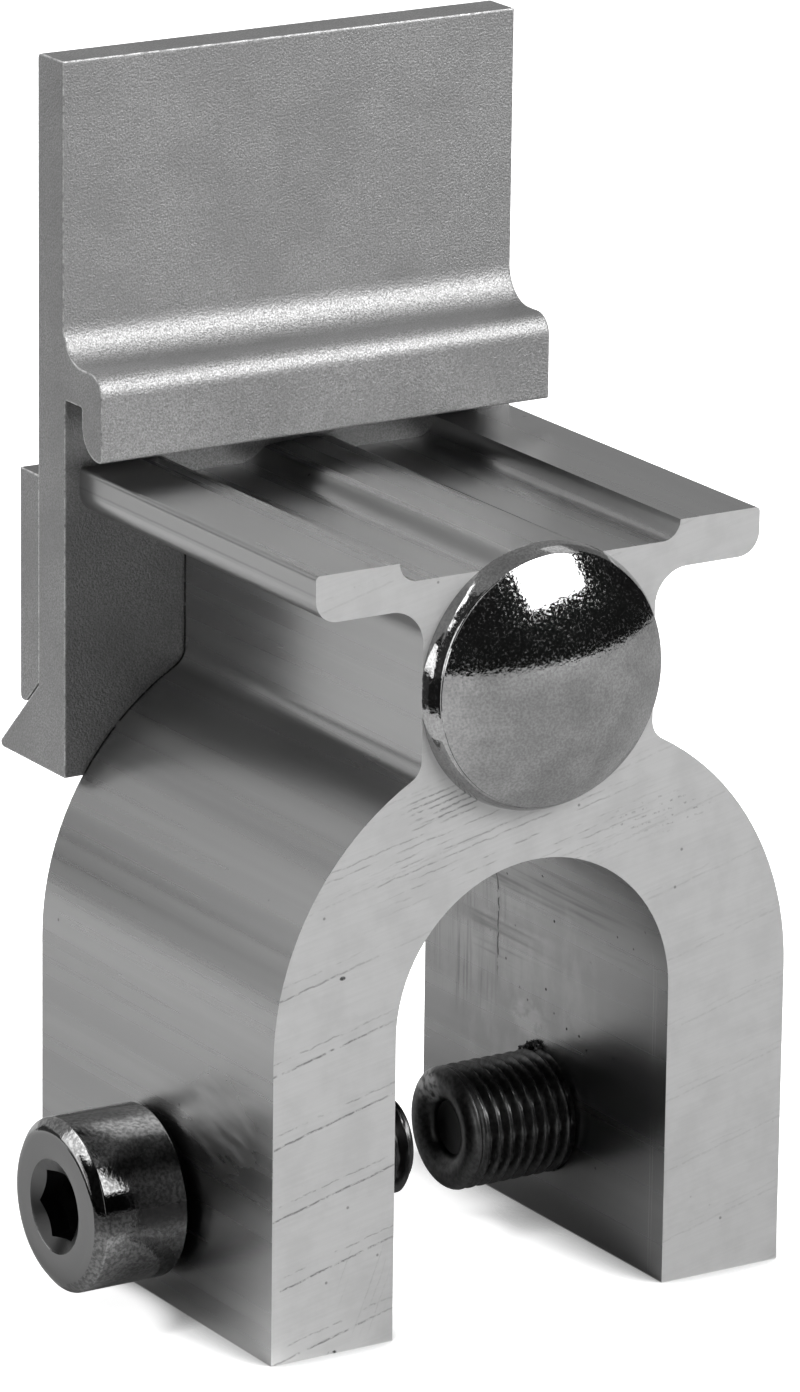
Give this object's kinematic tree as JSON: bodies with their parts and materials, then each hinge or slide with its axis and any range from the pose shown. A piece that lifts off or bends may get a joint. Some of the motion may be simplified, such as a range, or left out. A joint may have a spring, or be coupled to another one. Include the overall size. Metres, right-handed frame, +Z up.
{
  "type": "round seam clamp",
  "caption": "Roof seam clamp with an arched aluminium body, a bolted hooked plate behind its table and two screws that pinch the seam's web under its round bulb.",
  "frame": {"origin": "on the ground between the feet, in the body's middle plane and at its mid-length, where the seam's web enters the clamp", "axes": "+X across the seam, from the cap screw towards the set screw; +Y along the seam, from the bolt's head towards the hooked plate; +Z up"},
  "size_m": [0.0657, 0.0704, 0.1094],
  "materials": {
    "sawn_aluminium": "extruded, with sawn ends",
    "blasted_aluminium": "bead blasted, matt",
    "polished_steel": "bright",
    "blackened_steel": "black oxide"
  },
  "bodies": {
    "body": {"clamp_body": "sawn_aluminium", "hooked_plate": "blasted_aluminium", "clamping_bar": "blasted_aluminium", "carriage_bolt": "polished_steel", "flat_washer": "polished_steel", "hex_nut": "polished_steel"},
    "cap_screw": {"cap_screw": "blackened_steel"},
    "set_screw": {"set_screw": "blackened_steel"}
  },
  "joints": [
    {"name": "cap_screw_travel", "type": "slide", "parent": "body", "child": "cap_screw", "axis": [1, 0, 0], "range_m": [-0.0123, 0.0007]},
    {"name": "set_screw_travel", "type": "slide", "parent": "body", "child": "set_screw", "axis": [-1, 0, 0], "range_m": [-0.01105, 0.004]}
  ]
}
